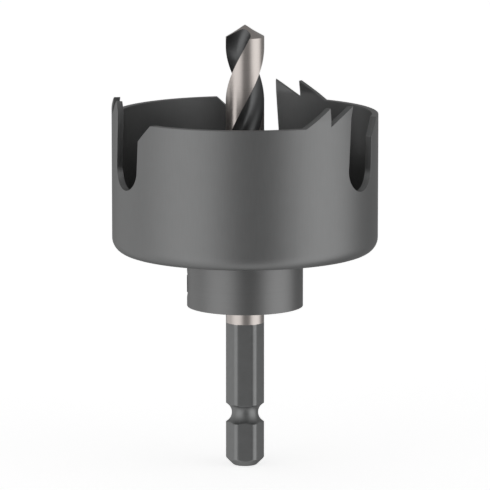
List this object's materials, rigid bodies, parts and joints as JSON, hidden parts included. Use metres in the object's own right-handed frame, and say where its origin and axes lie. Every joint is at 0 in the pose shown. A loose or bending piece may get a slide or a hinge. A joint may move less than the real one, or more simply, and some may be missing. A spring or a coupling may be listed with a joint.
{
  "type": "hole saw",
  "caption": "Steel hole saw for wood and sheet: set-tooth cup on a turned hub, with a twist pilot drill on a hexagon quick-change shank.",
  "frame": {"origin": "centre of the shank's free end face", "axes": "+Z along the tool's axis from the shank to the drill's point; the shank's flats face -Y and +Y; the picture looks along +Y and a little down"},
  "size_m": [0.048, 0.048, 0.0804],
  "materials": {
    "cup_coating": "satin dark grey coating on steel sheet",
    "hub_coating": "satin dark grey coating on turned steel",
    "drill_steel": "dark steam-treated flutes and shank, ground bright lands and collar",
    "screw_black": "black oxide"
  },
  "bodies": {
    "root": {"saw_cup": "cup_coating", "hub": "hub_coating", "pilot_drill": "drill_steel", "set_screw": "screw_black"}
  },
  "joints": []
}
